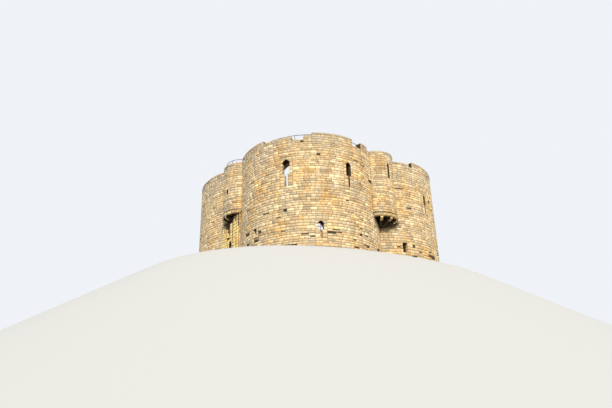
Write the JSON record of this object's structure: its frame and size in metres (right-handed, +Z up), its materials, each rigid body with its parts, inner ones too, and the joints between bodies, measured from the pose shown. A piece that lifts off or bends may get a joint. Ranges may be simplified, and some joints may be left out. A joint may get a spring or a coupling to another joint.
{
  "type": "castle keep",
  "caption": "Roofless stone castle keep of four round lobes in a quatrefoil, with corbelled angle turrets, keyhole windows, loops and a broken parapet.",
  "frame": {"origin": "centre of the quatrefoil plan at the foot of the walls", "axes": "+Z up; the lobe that faces the picture's camera points towards -Y; +X to its right"},
  "size_m": [23.9999, 23.9999, 11.0239],
  "materials": {
    "masonry": "weathered limestone ashlar",
    "paving": "worn stone flags",
    "railing": "dark satin paint",
    "window_frame": "dark rusted iron"
  },
  "bodies": {
    "root": {"court_floor": "paving", "door_threshold": "paving", "front_left_broken_wall": "masonry", "front_left_narrow_shaft": "masonry", "front_left_turret_corbels": "masonry", "front_left_turret_railing": "railing", "front_left_turret_screen": "masonry", "front_left_wide_shaft": "masonry", "front_lobe_gap_railing": "railing", "front_lobe_left_shoulder": "masonry", "front_lobe_left_wall": "masonry", "front_lobe_long_railing": "railing", "front_lobe_parapet": "masonry", "front_lobe_right_shoulder": "masonry", "front_lobe_right_wall": "masonry", "front_right_turret_corbels": "masonry", "front_right_turret_screen": "masonry", "left_lobe_left_corner": "masonry", "left_lobe_left_shoulder": "masonry", "left_lobe_left_wall": "masonry", "left_lobe_parapet": "masonry", "left_lobe_right_shoulder": "masonry", "left_lobe_right_wall": "masonry", "loop_window_frames": "window_frame", "rear_left_turret_corbels": "masonry", "rear_left_turret_screen": "masonry", "rear_lobe_door_head": "masonry", "rear_lobe_left_jamb": "masonry", "rear_lobe_left_shoulder": "masonry", "rear_lobe_left_wall": "masonry", "rear_lobe_parapet": "masonry", "rear_lobe_right_jamb": "masonry", "rear_lobe_right_shoulder": "masonry", "rear_lobe_right_wall": "masonry", "rear_right_turret_corbels": "masonry", "rear_right_turret_screen": "masonry", "right_lobe_left_corner": "masonry", "right_lobe_left_shoulder": "masonry", "right_lobe_left_wall": "masonry", "right_lobe_parapet": "masonry", "right_lobe_right_shoulder": "masonry", "right_lobe_right_wall": "masonry", "turret_walk_slabs": "masonry"}
  },
  "joints": []
}
